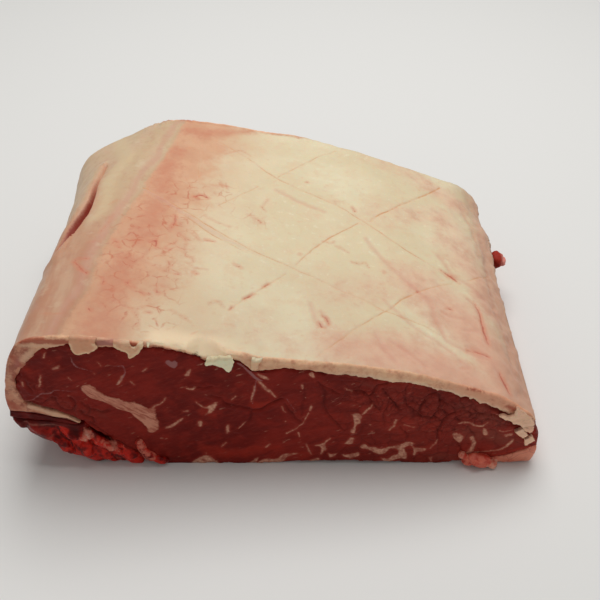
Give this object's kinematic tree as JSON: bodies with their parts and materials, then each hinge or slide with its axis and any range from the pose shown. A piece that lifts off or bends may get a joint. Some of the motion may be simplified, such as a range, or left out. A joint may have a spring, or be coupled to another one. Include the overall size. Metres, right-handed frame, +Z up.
{
  "type": "raw beef strip roast",
  "caption": "Boneless raw strip loin roast: dark red lean cut square at both ends, fat cap over the top and left side, ragged trim and a wedge of fat below.",
  "frame": {"origin": "the middle of the roast's box in X and Y, on the flat underside it lies on", "axes": "+X along the wide front cut towards its thin end, +Y from the front cut to the back cut, +Z up through the fat cap"},
  "size_m": [0.228, 0.1774, 0.0746],
  "materials": {
    "lean": "moist raw lean beef with fine marbling, satin",
    "fat": "cream external fat with pink patches, soft waxy sheen",
    "dark_lean": "dark moist lean under a thin silvery membrane",
    "trim_meat": "bright red ragged lean with scraps of fat, wet",
    "pink_fat": "pinkish fat with threads of lean, moist"
  },
  "bodies": {
    "root": {"lean": "lean", "fat_cap": "fat", "chain_muscle": "dark_lean", "finger_meat": "trim_meat", "tail_fat": "pink_fat"}
  },
  "joints": []
}
